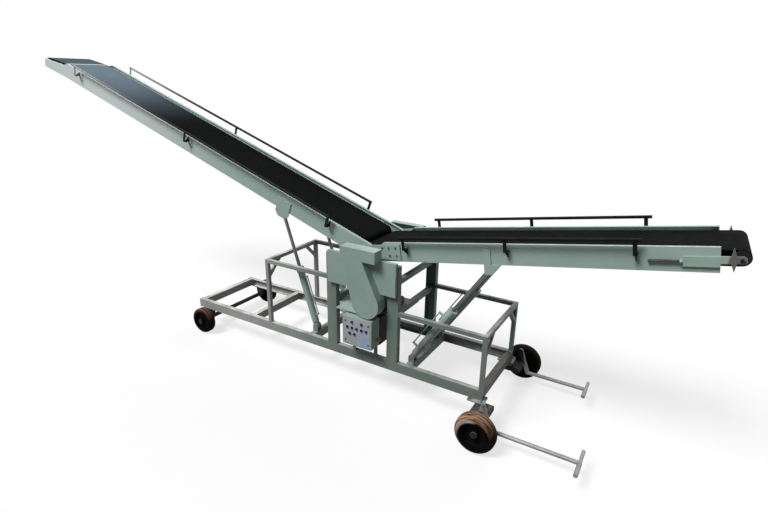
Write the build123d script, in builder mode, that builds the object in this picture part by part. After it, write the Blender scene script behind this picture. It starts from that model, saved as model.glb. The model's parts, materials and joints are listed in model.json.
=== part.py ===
# Truck loading conveyor: a two-section belt conveyor on a wheeled chassis.
import os
from math import asin, atan2, cos, degrees, hypot, radians, sin

from build123d import *

os.makedirs("parts", exist_ok=True)

# Chassis, with the rail tops as zero height
chassis_length = 3724
chassis_width = 875
rail_height = 100
rail_width = 50
rail_wall = 6
cross_width = 60
rear_cross_inset = 877
boom_foot_x = -117
boom_foot_z = 54
infeed_foot_x = 1077
infeed_foot_z = 45

# Fits between pieces
running_fit = 0.05
seat_gap = 0.2
side_play = 5

# Rear wheels on one axle, outside the rails
rear_inset = 178
rear_drop = 201
rear_offset = 105.5
rear_radius = 154
rear_width = 100
rear_shoulder = 28
rear_hub = 36
rear_dish = 104
rear_dish_depth = 26
axle_radius = 18
axle_tube = 25
hanger_foot = 114
hanger_round = 34
hanger_thick = 12
foot_thick = 8
cap_thick = 8
cap_lip = 12

# Front wheels on steered knuckles, with a tiller each
king_inset = 22
king_radius = 20
king_trail = 75
king_gap = 3
front_drop = 240
front_offset = 257.5
front_radius = 187.5
front_width = 150
front_shoulder = 62
disc_radius = 120
disc_inset = 15
rim_wall = 14
dish_depth = 45
hub_radius = 40
hub_recess = 35
knuckle_width = 90
knuckle_height = 50
stub_radius = 25
spindle_radius = 18
steer_offset = 107.5
steer_thick = 12
steer_round = 45
link_x = 75
link_z = -45
link_reach = 90
link_thick = 10
link_round = 22
tiller_z = -280
tiller_radius = 19
grip_radius = 15
tiller_reach_near = 917
tiller_reach_far = 752
grip_near = 330
grip_far = 280

# Knee and the two conveyor sections
hinge_x = 540
hinge_z = 1047
boom_angle = 19
infeed_angle = 9.5
section_gap = 114
side_depth = 180
pivot_drop = 85
sheet = 5
flange = 30
belt_gap = 87
belt_thick = 8
drum_radius = 50
drum_lip = 3
pulley_shaft = 15
boom_tail = 135
nose_bend = 5060
nose_length = 400
nose_angle = 8
nose_lead = 100
nose_tip = 20
nose_step = 10
infeed_start = 150
infeed_end = 2870
infeed_tail = 2990
shaft_radius = 25
shaft_out = 62

# Posts and railings
post_width = 116
post_depth = 60
post_top = 940
left_post_x = 198
right_post_x = 914
beam_height = 60
low_tie_z = 495
high_tie_z = 813
tie_size = 50
tube = 40
brace = 170
rear_frame_x = -702
rear_frame_height = 752
front_frame_height = 543

# Drive: motor, chain case and guards
motor_x = 680
motor_z = 605
platform_thick = 8
platform_back = 60
platform_gap = 3
shelf_inset = 57
shelf_length = 270
shelf_out = 84
gear_length = 190
gear_depth = 290
gear_inset = 20
gear_rise = 95
motor_radius = 65
motor_y = -200
output_radius = 20
output_length = 80
guard_sheet = 4
tray_out = 40
tray_low = 706
tray_high = 1038
tray_left_inset = 15
tray_right_over = 48
case_out = 125
case_low_radius = 150
case_high_radius = 106
case_drop = 47
box_left = 143
box_right = 247
box_low = 1026
box_high = 1142
far_out = 78
far_shift = 27
far_seat = 40

# Control panel and power pack
panel_left = 434
panel_right = 770
panel_low = 140
panel_high = 443
panel_out = 142
panel_edge = 6
leg_width = 40
leg_thick = 8
leg_inset = 40
button_radius = 13
button_height = 12
button_pitch = 55
button_first = 59
screw_head = 8
pack_low = 135
pack_length = 300
pack_width = 240
pack_height = 295
pack_edge = 12

# Lift cylinders
cylinder_inset = 26.5
barrel_radius = 38
bore_radius = 31
rod_radius = 18
pin_radius = 12
eye_width = 40
eye_wall = 16
ring_wall = 11
cap = 70
gland = 60
gland_lip = 6
boom_barrel = 680
boom_rod = 830
boom_play = 13
infeed_barrel = 720
infeed_rod = 720
infeed_play = 8
boom_eye_s = 1075
boom_eye_t = -140
infeed_eye_s = 1230
infeed_eye_t = -152
pipe_radius = 6
port = 16
boom_pipe_out = 30
infeed_pipe_out = 45

# Guide rails over the sides
guide_radius = 13.5
guide_out = 62
guide_t = 146
foot_t = 30
guide_post = 30
guide_flat = 6
gusset = 55
boom_post_first = 480
boom_post_inset = 370
boom_overhang = 15
infeed_post_first = 460
infeed_post_inset = 510
infeed_overhang = 45

# Derived places
half_width = chassis_width / 2
rail_y = half_width - rail_width / 2
section_width = chassis_width - 2 * section_gap
belt_width = section_width - belt_gap
section_y = section_width / 2
web_y = section_y - sheet
cylinder_y = section_y - cylinder_inset
top_t = pivot_drop
bottom_t = pivot_drop - side_depth
belt_radius = drum_radius + belt_thick
post_y = half_width - post_depth / 2
beam_top = post_top + beam_height
mid_x = (left_post_x + right_post_x) / 2
platform_top = low_tie_z - tie_size / 2
rear_axle_x = rear_inset - chassis_length / 2
rear_axle_z = -rear_drop
rear_y = half_width + rear_offset
king_x = chassis_length / 2 - king_inset
front_axle_x = king_x + king_trail
front_axle_z = -front_drop
front_y = half_width + front_offset

boom_cos = cos(radians(boom_angle))
boom_sin = sin(radians(boom_angle))
infeed_cos = cos(radians(infeed_angle))
infeed_sin = sin(radians(infeed_angle))
boom_side = Plane((hinge_x, 0, hinge_z), x_dir=(-boom_cos, 0, boom_sin), z_dir=(0, 1, 0))
infeed_side = Plane((hinge_x, 0, hinge_z), x_dir=(infeed_cos, 0, infeed_sin), z_dir=(0, -1, 0))
machine_side = Plane.XZ

nose_cos = cos(radians(nose_angle))
nose_sin = sin(radians(nose_angle))


def nose_point(along, above):
    return (nose_bend + along * nose_cos + above * nose_sin, above * nose_cos - along * nose_sin)


head_s, head_t = nose_point(nose_length, 0)

# The chassis stands nose-up by the difference between its wheels
wheelbase = front_axle_x - rear_axle_x
axle_fall = rear_axle_z - front_axle_z
slope = asin((front_radius - rear_radius) / hypot(wheelbase, axle_fall))
slope += atan2(axle_fall, wheelbase)
ground = rear_axle_z * cos(slope) + rear_axle_x * sin(slope) - rear_radius
head_x = hinge_x - head_s * boom_cos + head_t * boom_sin
head_z = hinge_z + head_s * boom_sin + head_t * boom_cos
tail_x = hinge_x + infeed_tail * infeed_cos
tail_z = hinge_z + infeed_tail * infeed_sin
reach_left = head_x * cos(slope) - head_z * sin(slope) - belt_radius
reach_right = tail_x * cos(slope) - tail_z * sin(slope) + belt_radius
stance = Pos(-(reach_left + reach_right) / 2, 0, -ground) * Rot(0, -degrees(slope), 0)


def hand_over(piece, name):
    placed = piece.moved(stance)
    placed.label = name
    export_step(placed, f"parts/{name}.step")


# Chassis rails: two channels, open inward
with BuildPart() as chassis_rails:
    with BuildSketch(Plane.YZ.offset(-chassis_length / 2)):
        with Locations((rail_y, -rail_height / 2)):
            Rectangle(rail_width, rail_height)
        with Locations((rail_y - rail_wall / 2, -rail_height / 2)):
            Rectangle(rail_width - rail_wall, rail_height - 2 * rail_wall, mode=Mode.SUBTRACT)
    extrude(amount=chassis_length)
    mirror(about=Plane.XZ)
hand_over(chassis_rails.part, "chassis_rails")

# Cross members, seated between the rails' flanges
end_x = chassis_length / 2 - cross_width / 2
cross_places = [
    -end_x,
    rear_cross_inset - chassis_length / 2,
    boom_foot_x,
    infeed_foot_x,
    end_x,
]
cross_length = chassis_width - 2 * rail_wall
with BuildPart() as cross_members:
    with BuildSketch(Plane.XY.offset(rail_wall - rail_height)):
        with Locations(*[(x, 0) for x in cross_places]):
            Rectangle(cross_width, cross_length)
    extrude(amount=rail_height - 2 * rail_wall)
hand_over(cross_members.part, "cross_members")

# Rear axle: a tube on two hangers under the rails, with a spindle at each end
axle_shoulder = rear_y - rear_width / 2 - side_play
axle_end = rear_y + rear_width / 2 + side_play
hanger_top = -rail_height - foot_thick
with BuildPart() as rear_axle:
    with BuildSketch(machine_side.offset(rail_y - hanger_thick / 2)):
        with Locations((rear_axle_x, rear_axle_z)):
            Circle(hanger_round)
        with BuildLine():
            Polyline(
                (rear_axle_x - hanger_foot / 2, hanger_top),
                (rear_axle_x + hanger_foot / 2, hanger_top),
                (rear_axle_x + hanger_round, rear_axle_z),
                (rear_axle_x - hanger_round, rear_axle_z),
                close=True,
            )
        make_face()
    extrude(amount=hanger_thick)
    with BuildSketch(Plane.XY.offset(-rail_height)):
        with Locations((rear_axle_x, -rail_y)):
            Rectangle(hanger_foot, rail_width)
    extrude(amount=-foot_thick)
    mirror(about=Plane.XZ)
    with Locations((rear_axle_x, 0, rear_axle_z)):
        Cylinder(axle_radius, 2 * axle_end, rotation=(90, 0, 0))
        Cylinder(axle_tube, 2 * axle_shoulder, rotation=(90, 0, 0))
    for side in (-1, 1):
        with Locations((rear_axle_x, side * (axle_end + cap_thick / 2), rear_axle_z)):
            Cylinder(axle_radius + cap_lip, cap_thick, rotation=(90, 0, 0))
hand_over(rear_axle.part, "rear_axle")

# Mid posts: four channels that carry the knee
post_places = [(left_post_x, post_y), (right_post_x, post_y)]
with BuildPart() as mid_posts:
    with BuildSketch(Plane.XY):
        with Locations(*post_places):
            Rectangle(post_width, post_depth)
        with Locations(*[(x, y - rail_wall / 2) for x, y in post_places]):
            Rectangle(post_width - 2 * rail_wall, post_depth - rail_wall, mode=Mode.SUBTRACT)
    extrude(amount=post_top)
    mirror(about=Plane.XZ)
hand_over(mid_posts.part, "mid_posts")

# Beams of the posts: two along the top, and ties across
with BuildPart() as post_beams:
    with BuildSketch(Plane.XY.offset(post_top)):
        with Locations((mid_x, post_y)):
            Rectangle(right_post_x - left_post_x + post_width, post_depth)
    extrude(amount=beam_height)
    mirror(about=Plane.XZ)
    for height in (low_tie_z, high_tie_z):
        for post_x in (left_post_x, right_post_x):
            with Locations((post_x, 0, height)):
                Box(tie_size, 2 * (half_width - rail_wall), tie_size)
hand_over(post_beams.part, "post_beams")

# Knee bearings: a pillow block on each top beam
block_radius = 44
block_foot = 190
block_foot_high = 18
block_inset = 5
with BuildPart() as knee_bearings:
    with BuildSketch(machine_side.offset(post_y - post_depth / 2 + block_inset)):
        with Locations((hinge_x, (beam_top + hinge_z) / 2)):
            Rectangle(2 * block_radius, hinge_z - beam_top)
        with Locations((hinge_x, hinge_z)):
            Circle(block_radius)
        with Locations((hinge_x, beam_top + block_foot_high / 2)):
            Rectangle(block_foot, block_foot_high)
        with Locations((hinge_x, hinge_z)):
            Circle(shaft_radius + running_fit, mode=Mode.SUBTRACT)
    extrude(amount=post_depth - 2 * block_inset)
    mirror(about=Plane.XZ)
hand_over(knee_bearings.part, "knee_bearings")

# Drive shaft with the drum that turns the infeed belt
with BuildPart() as drive_shaft:
    with Locations((hinge_x, 0, hinge_z)):
        Cylinder(shaft_radius, chassis_width + 2 * shaft_out, rotation=(90, 0, 0))
        Cylinder(drum_radius, belt_width + 2 * drum_lip, rotation=(90, 0, 0))
hand_over(drive_shaft.part, "drive_shaft")

# Motor platform under the lower ties, with a shelf out to the near side
platform_side = half_width - post_depth - platform_gap
shelf_left = left_post_x + post_width / 2 + shelf_inset
shelf_front = half_width + shelf_out
with BuildPart() as motor_platform:
    with BuildSketch(Plane.XY.offset(platform_top)):
        with Locations((mid_x, (platform_back - platform_side) / 2)):
            Rectangle(right_post_x - left_post_x + tie_size, platform_back + platform_side)
        with Locations((shelf_left + shelf_length / 2, -shelf_front / 2)):
            Rectangle(shelf_length, shelf_front)
    extrude(amount=-platform_thick)
hand_over(motor_platform.part, "motor_platform")

# Gear motor: bevel gearbox with its motor along the machine and the output shaft to the chain
gear_front = half_width - gear_inset
motor_end = right_post_x - tie_size / 2 - 2 * side_play
with BuildPart() as gear_motor:
    with Locations((motor_x, gear_depth / 2 - gear_front, (platform_top + motor_z + gear_rise) / 2)):
        Box(gear_length, gear_depth, motor_z + gear_rise - platform_top)
    with Locations(((motor_x + motor_end) / 2, motor_y, platform_top + motor_radius + side_play)):
        Cylinder(motor_radius, motor_end - motor_x, rotation=(0, 90, 0))
    with Locations((motor_x, -gear_front - output_length / 2, motor_z)):
        Cylinder(output_radius, output_length, rotation=(90, 0, 0))
hand_over(gear_motor.part, "gear_motor")

# Drive guards: a tray on the posts, the tapered chain case and the knee box, and a box behind
tray_left = left_post_x - tray_left_inset
tray_right = right_post_x + tray_right_over
tray_mid = ((tray_left + tray_right) / 2, (tray_low + tray_high) / 2)
box_mid = (hinge_x + (box_right - box_left) / 2, (box_low + box_high) / 2)
far_low = beam_top - far_seat
far_mid = (box_mid[0] - far_shift, (far_low + box_high) / 2)
near_face = machine_side.offset(half_width)
far_face = machine_side.offset(-half_width)
with BuildPart() as guards:
    with BuildSketch(near_face):
        with Locations(tray_mid):
            Rectangle(tray_right - tray_left, tray_high - tray_low)
    extrude(amount=tray_out)
    for skin, mode in ((0, Mode.ADD), (guard_sheet, Mode.SUBTRACT)):
        with BuildSketch(near_face):
            with Locations((motor_x, motor_z)):
                Circle(case_low_radius - skin)
            with Locations((hinge_x, hinge_z - case_drop)):
                Circle(case_high_radius - skin)
            make_hull()
        extrude(amount=case_out - skin, mode=mode)
        with BuildSketch(near_face):
            with Locations(box_mid):
                Rectangle(box_left + box_right - 2 * skin, box_high - box_low - 2 * skin)
        extrude(amount=case_out - skin, mode=mode)
        with BuildSketch(far_face):
            with Locations(far_mid):
                Rectangle(box_left + box_right - 2 * skin, box_high - far_low - 2 * skin)
        extrude(amount=-(far_out - skin), mode=mode)
    with BuildSketch(near_face):
        with Locations(tray_mid):
            Rectangle(tray_right - tray_left - 2 * guard_sheet, tray_high - tray_low - 2 * guard_sheet)
    extrude(amount=tray_out - guard_sheet, mode=Mode.SUBTRACT)
hand_over(guards.part, "guards")

# Control panel box
panel_x = (panel_left + panel_right) / 2
panel_face = half_width + panel_out
with BuildPart() as control_panel:
    with BuildSketch(machine_side.offset(half_width)):
        with Locations((panel_x, (panel_low + panel_high) / 2)):
            RectangleRounded(panel_right - panel_left, panel_high - panel_low, panel_edge)
    extrude(amount=panel_out)
hand_over(control_panel.part, "control_panel")

# Panel stand: two flat legs with feet on the near rail
with BuildPart() as panel_stand:
    for leg_x in (panel_left + leg_inset, panel_right - leg_inset):
        with Locations((leg_x, leg_thick / 2 - half_width, panel_high / 2)):
            Box(leg_width, leg_thick, panel_high)
        with Locations((leg_x, leg_width / 2 - half_width, leg_thick / 2)):
            Box(leg_width, leg_width, leg_thick)
hand_over(panel_stand.part, "panel_stand")

# Panel buttons: rows by first column and drop from the panel's top edge, and corner screws
button_rows = [
    {"columns": (1, 3), "drop": 49},
    {"columns": (0, 1, 2, 3, 4), "drop": 111},
    {"columns": (0.5, 1.5), "drop": 172},
]
screw_side = 35
screw_end = 48
with BuildPart() as panel_buttons:
    with BuildSketch(machine_side.offset(panel_face)):
        for row in button_rows:
            for column in row["columns"]:
                with Locations((panel_left + button_first + column * button_pitch, panel_high - row["drop"])):
                    Circle(button_radius)
    extrude(amount=button_height)
    with BuildSketch(machine_side.offset(panel_face)):
        for screw_x in (panel_left + screw_side, panel_right - screw_side):
            with Locations((screw_x, panel_high - screw_end), (screw_x, panel_low + screw_end)):
                Circle(screw_head)
    extrude(amount=button_height / 2)
hand_over(panel_buttons.part, "panel_buttons")

# Hydraulic power pack: a tank with rounded upright edges, carried on the legs behind the panel
pack_x = panel_right - pack_length / 2
pack_y = leg_thick - half_width + pack_width / 2
with BuildPart() as power_pack:
    with BuildSketch(Plane.XY.offset(pack_low)):
        with Locations((pack_x, pack_y)):
            RectangleRounded(pack_length, pack_width, pack_edge)
    extrude(amount=pack_height)
hand_over(power_pack.part, "power_pack")

# Railing end frames: posts, crossbar and corner braces
frame_rows = [
    {"x": rear_frame_x, "height": rear_frame_height},
    {"x": chassis_length / 2 - tube, "height": front_frame_height},
]
with BuildPart() as railing_frames:
    for row in frame_rows:
        inner_y = half_width - tube
        inner_z = row["height"] - tube
        with BuildSketch(Plane.YZ.offset(row["x"])):
            with Locations((0, row["height"] / 2)):
                Rectangle(chassis_width, row["height"])
            with Locations((0, inner_z / 2)):
                Rectangle(2 * inner_y, inner_z, mode=Mode.SUBTRACT)
            for side in (-1, 1):
                with BuildLine():
                    Polyline(
                        (side * inner_y, inner_z - brace),
                        (side * (inner_y - brace), inner_z),
                        (side * (inner_y - brace + tube), inner_z),
                        (side * inner_y, inner_z - brace + tube),
                        close=True,
                    )
                make_face()
        extrude(amount=tube)
hand_over(railing_frames.part, "railing_frames")

# Railing bars along both sides
bar_rows = [
    {"from": rear_frame_x + tube, "to": left_post_x - post_width / 2, "top": rear_frame_height},
    {"from": right_post_x + post_width / 2, "to": chassis_length / 2 - tube, "top": front_frame_height},
]
with BuildPart() as railing_bars:
    for row in bar_rows:
        with BuildSketch(Plane.YZ.offset(row["from"])):
            with Locations((half_width - tube / 2, row["top"] - tube / 2)):
                Rectangle(tube, tube)
        extrude(amount=row["to"] - row["from"])
    mirror(about=Plane.XZ)
hand_over(railing_bars.part, "railing_bars")

# Kingpin heads under the front corners
head_back = 110
head_front = 50
head_width = 130
head_corner = 12
head_thick = 12
head_radius = 48
head_drop = 52
bore_cover = 4
head_low = -rail_height - head_drop
with BuildPart() as king_heads:
    with BuildSketch(Plane.XY.offset(-rail_height)):
        with Locations((king_x + (head_front - head_back) / 2, rail_y)):
            RectangleRounded(head_back + head_front, head_width, head_corner)
    extrude(amount=-head_thick)
    with BuildSketch(Plane.XY.offset(-rail_height - head_thick)):
        with Locations((king_x, rail_y)):
            Circle(head_radius)
    extrude(amount=head_thick - head_drop)
    with BuildSketch(Plane.XY.offset(head_low)):
        with Locations((king_x, rail_y)):
            Circle(king_radius + running_fit)
    extrude(amount=head_drop - bore_cover, mode=Mode.SUBTRACT)
    mirror(about=Plane.XZ)
hand_over(king_heads.part, "king_heads")

# Cylinder clevises on the cross members
lug = 10
lug_round = 30
clevis_half = eye_width / 2 + side_play
clevis_rows = [{"x": boom_foot_x, "z": boom_foot_z}, {"x": infeed_foot_x, "z": infeed_foot_z}]
with BuildPart() as cylinder_clevises:
    for row in clevis_rows:
        for face in (cylinder_y - clevis_half - lug, cylinder_y + clevis_half):
            with BuildSketch(machine_side.offset(face)):
                with Locations((row["x"], (row["z"] - rail_wall) / 2)):
                    Rectangle(2 * lug_round, row["z"] + rail_wall)
                with Locations((row["x"], row["z"])):
                    Circle(lug_round)
            extrude(amount=lug)
        with Locations((row["x"], -cylinder_y, row["z"])):
            Cylinder(pin_radius, 2 * (clevis_half + lug), rotation=(90, 0, 0))
    mirror(about=Plane.XZ)
hand_over(cylinder_clevises.part, "cylinder_clevises")

# Boom side rails: folded sides from the knee, stepping down below the belt at the nose
nose_side = drum_radius - nose_step
nose_low = -belt_radius
nose_end = nose_length + nose_tip
bearing_wall = 20
with BuildPart() as boom_side_rails:
    with BuildSketch(boom_side.offset(section_y - flange)) as boom_outline:
        with BuildLine():
            edges = Polyline(
                (0, top_t),
                (nose_bend - nose_lead, top_t),
                nose_point(0, nose_side),
                nose_point(nose_end, nose_side),
                nose_point(nose_end, nose_low),
                (nose_bend - nose_lead, bottom_t),
                (0, bottom_t),
            )
            ThreePointArc(edges @ 1, (-side_depth / 2, (top_t + bottom_t) / 2), edges @ 0)
        make_face()
    extrude(amount=flange)
    with BuildSketch(boom_side.offset(section_y - flange)):
        add(offset(boom_outline.sketch_local, amount=-sheet, mode=Mode.PRIVATE))
    extrude(amount=flange - sheet, mode=Mode.SUBTRACT)
    with BuildSketch(boom_side.offset(section_y - flange)):
        Circle(shaft_radius + bearing_wall)
    extrude(amount=flange)
    with BuildSketch(boom_side.offset(section_y - flange)):
        Circle(shaft_radius + running_fit)
    extrude(amount=flange, mode=Mode.SUBTRACT)
    mirror(about=Plane.XZ)
hand_over(boom_side_rails.part, "boom_side_rails")

# Boom bed: the plate the belt slides on, with ties under it
bed_top = drum_radius
bed_gap = 70
bed_tie_width = 50
bed_tie_height = 40
bed_tie_inset = 100
bed_start = boom_tail + bed_gap
bed_end = nose_bend - bed_gap
boom_ties = 6
bed_half = web_y - seat_gap
tie_step = (bed_end - bed_start - 2 * bed_tie_inset) / (boom_ties - 1)
with BuildPart() as boom_bed:
    with BuildSketch(boom_side.offset(-bed_half)):
        with Locations(((bed_start + bed_end) / 2, bed_top - sheet / 2)):
            Rectangle(bed_end - bed_start, sheet)
        for i in range(boom_ties):
            with Locations((bed_start + bed_tie_inset + i * tie_step, bed_top - sheet - bed_tie_height / 2)):
                Rectangle(bed_tie_width, bed_tie_height)
    extrude(amount=2 * bed_half)
hand_over(boom_bed.part, "boom_bed")

# Boom belt: a loop over the tail pulley, the nose bend and the head pulley
boom_mid = ((boom_tail + nose_bend) / 2, 0)
nose_mid = nose_point(nose_length / 2, 0)
with BuildPart() as boom_belt:
    with BuildSketch(boom_side.offset(-belt_width / 2)):
        for radius, mode in ((belt_radius, Mode.ADD), (drum_radius, Mode.SUBTRACT)):
            with Locations(boom_mid):
                SlotCenterToCenter(nose_bend - boom_tail, 2 * radius, mode=mode)
            with Locations(nose_mid):
                SlotCenterToCenter(nose_length, 2 * radius, rotation=-nose_angle, mode=mode)
    extrude(amount=belt_width)
hand_over(boom_belt.part, "boom_belt")

# Boom pulleys: tail, nose bend and head
pulley_places = [(boom_tail, 0), (nose_bend, 0), (head_s, head_t)]
with BuildPart() as boom_pulleys:
    with BuildSketch(boom_side.offset(-belt_width / 2 - drum_lip)):
        with Locations(*pulley_places):
            Circle(drum_radius)
    extrude(amount=belt_width + 2 * drum_lip)
    with BuildSketch(boom_side.offset(-web_y)):
        with Locations(*pulley_places):
            Circle(pulley_shaft)
    extrude(amount=2 * web_y)
hand_over(boom_pulleys.part, "boom_pulleys")

# Guide rails over both sections: a pipe on three posts each, with gusseted feet
guide_y = section_y + guide_out
guide_rows = [
    {"name": "boom_guides", "side": boom_side, "first": boom_post_first,
     "last": nose_bend - boom_post_inset, "over": boom_overhang},
    {"name": "infeed_guides", "side": infeed_side, "first": infeed_post_first,
     "last": infeed_end - infeed_post_inset, "over": infeed_overhang},
]
for row in guide_rows:
    places = [row["first"], (row["first"] + row["last"]) / 2, row["last"]]
    bar_start = row["side"].from_local_coords((row["first"] - row["over"], guide_t, guide_y))
    bar_end = Plane(bar_start, x_dir=(0, 1, 0), z_dir=row["side"].x_dir)
    with BuildPart() as guides:
        with BuildSketch(bar_end):
            Circle(guide_radius)
        extrude(amount=row["last"] - row["first"] + 2 * row["over"])
        with BuildSketch(row["side"].offset(guide_y - guide_flat / 2)):
            with Locations(*[(s, (guide_t + foot_t) / 2) for s in places]):
                Rectangle(guide_post, guide_t - foot_t)
        extrude(amount=guide_flat)
        with BuildSketch(row["side"].offset(section_y)):
            with Locations(*[(s, foot_t + guide_flat / 2) for s in places]):
                Rectangle(guide_post, guide_flat)
        extrude(amount=guide_out)
        for s in places:
            root = row["side"].from_local_coords((s, foot_t, section_y))
            gusset_plane = Plane(root, x_dir=row["side"].z_dir, z_dir=row["side"].x_dir)
            with BuildSketch(gusset_plane):
                with BuildLine():
                    Polyline((0, 0), (guide_out, 0), (0, row["side"].x_dir.X * gusset), close=True)
                make_face()
            extrude(amount=guide_flat / 2, both=True)
        mirror(about=Plane.XZ)
    hand_over(guides.part, row["name"])

# Boom brackets: plates on the sides with the pins of the lift cylinders
bracket_half = 90
bracket_rise = 20
bracket_tip = 40
plate_thick = 10
pin_root = cylinder_y - eye_width / 2 - side_play
with BuildPart() as boom_brackets:
    with BuildSketch(boom_side.offset(section_y)):
        with BuildLine():
            Polyline(
                (boom_eye_s - bracket_half, bracket_rise),
                (boom_eye_s - bracket_half, boom_eye_t),
                (boom_eye_s - bracket_tip, boom_eye_t - bracket_tip),
                (boom_eye_s + bracket_tip, boom_eye_t - bracket_tip),
                (boom_eye_s + bracket_half, boom_eye_t),
                (boom_eye_s + bracket_half, bracket_rise),
                close=True,
            )
        make_face()
    extrude(amount=plate_thick)
    with BuildSketch(boom_side.offset(pin_root)):
        with Locations((boom_eye_s, boom_eye_t)):
            Circle(pin_radius)
    extrude(amount=section_y - pin_root)
    mirror(about=Plane.XZ)
hand_over(boom_brackets.part, "boom_brackets")

# Infeed side rails
corner_run = 60
corner_drop = 40
with BuildPart() as infeed_side_rails:
    with BuildSketch(infeed_side.offset(section_y - flange)) as infeed_outline:
        with BuildLine():
            Polyline(
                (infeed_start, bottom_t),
                (infeed_end, bottom_t),
                (infeed_end, top_t),
                (infeed_start + corner_run, top_t),
                (infeed_start, top_t - corner_drop),
                close=True,
            )
        make_face()
    extrude(amount=flange)
    with BuildSketch(infeed_side.offset(section_y - flange)):
        add(offset(infeed_outline.sketch_local, amount=-sheet, mode=Mode.PRIVATE))
    extrude(amount=flange - sheet, mode=Mode.SUBTRACT)
    mirror(about=Plane.XZ)
hand_over(infeed_side_rails.part, "infeed_side_rails")

# Infeed bed
infeed_bed_start = infeed_start + bed_tie_width
infeed_bed_end = infeed_end - bed_tie_width
infeed_ties = 4
infeed_step = (infeed_bed_end - infeed_bed_start - 2 * bed_tie_inset) / (infeed_ties - 1)
with BuildPart() as infeed_bed:
    with BuildSketch(infeed_side.offset(-bed_half)):
        with Locations(((infeed_bed_start + infeed_bed_end) / 2, bed_top - sheet / 2)):
            Rectangle(infeed_bed_end - infeed_bed_start, sheet)
        for i in range(infeed_ties):
            tie_s = infeed_bed_start + bed_tie_inset + i * infeed_step
            with Locations((tie_s, bed_top - sheet - bed_tie_height / 2)):
                Rectangle(bed_tie_width, bed_tie_height)
    extrude(amount=2 * bed_half)
hand_over(infeed_bed.part, "infeed_bed")

# Infeed belt: a loop over the drive drum and the tail pulley
drum_clear = 0.3
with BuildPart() as infeed_belt:
    with BuildSketch(infeed_side.offset(-belt_width / 2)):
        with Locations((infeed_tail / 2, 0)):
            SlotCenterToCenter(infeed_tail, 2 * belt_radius)
            SlotCenterToCenter(infeed_tail, 2 * (drum_radius + drum_clear), mode=Mode.SUBTRACT)
    extrude(amount=belt_width)
hand_over(infeed_belt.part, "infeed_belt")

# Infeed tail pulley
tail_out = 40
with BuildPart() as tail_pulley:
    with BuildSketch(infeed_side.offset(-belt_width / 2 - drum_lip)):
        with Locations((infeed_tail, 0)):
            Circle(drum_radius)
    extrude(amount=belt_width + 2 * drum_lip)
    with BuildSketch(infeed_side.offset(-section_y - tail_out)):
        with Locations((infeed_tail, 0)):
            Circle(pulley_shaft)
    extrude(amount=2 * (section_y + tail_out))
hand_over(tail_pulley.part, "tail_pulley")

# Take-ups: screw housings, slide arms, rhombic flanges and the bosses of the tail shaft
takeup_t = -14
takeup_thick = 18
housing_length = 220
housing_height = 72
arm_height = 50
rhombus_inset = 46
rhombus_half = 22
rhombus_height = 86
boss_radius = 27
boss_out = 28
screw_radius = 9
screw_length = 215
nut_radius = 17
nut_length = 16
rhombus_s = infeed_tail - rhombus_inset
housing_start = infeed_end - housing_length
screw_out = section_y + nut_radius + seat_gap
screw_root = infeed_side.from_local_coords((housing_start - screw_length, takeup_t, screw_out))
nut_root = infeed_side.from_local_coords((housing_start - nut_length, takeup_t, screw_out))
with BuildPart() as takeups:
    with BuildSketch(infeed_side.offset(section_y)):
        with Locations((infeed_end - housing_length / 2, takeup_t)):
            Rectangle(housing_length, housing_height)
        with Locations(((infeed_end + infeed_tail) / 2, 0)):
            Rectangle(infeed_tail - infeed_end, arm_height)
        with BuildLine():
            Polyline(
                (rhombus_s, rhombus_height),
                (rhombus_s + rhombus_half, 0),
                (rhombus_s, -rhombus_height),
                (rhombus_s - rhombus_half, 0),
                close=True,
            )
        make_face()
        with Locations((infeed_tail, 0)):
            Circle(pulley_shaft, mode=Mode.SUBTRACT)
    extrude(amount=takeup_thick)
    with BuildSketch(infeed_side.offset(section_y)):
        with Locations((infeed_tail, 0)):
            Circle(boss_radius)
            Circle(pulley_shaft, mode=Mode.SUBTRACT)
    extrude(amount=boss_out)
    with BuildSketch(Plane(screw_root, x_dir=(0, 1, 0), z_dir=infeed_side.x_dir)):
        Circle(screw_radius)
    extrude(amount=screw_length)
    with BuildSketch(Plane(nut_root, x_dir=(0, 1, 0), z_dir=infeed_side.x_dir)):
        RegularPolygon(nut_radius, 6)
    extrude(amount=nut_length)
    mirror(about=Plane.XZ)
hand_over(takeups.part, "takeups")

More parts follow.
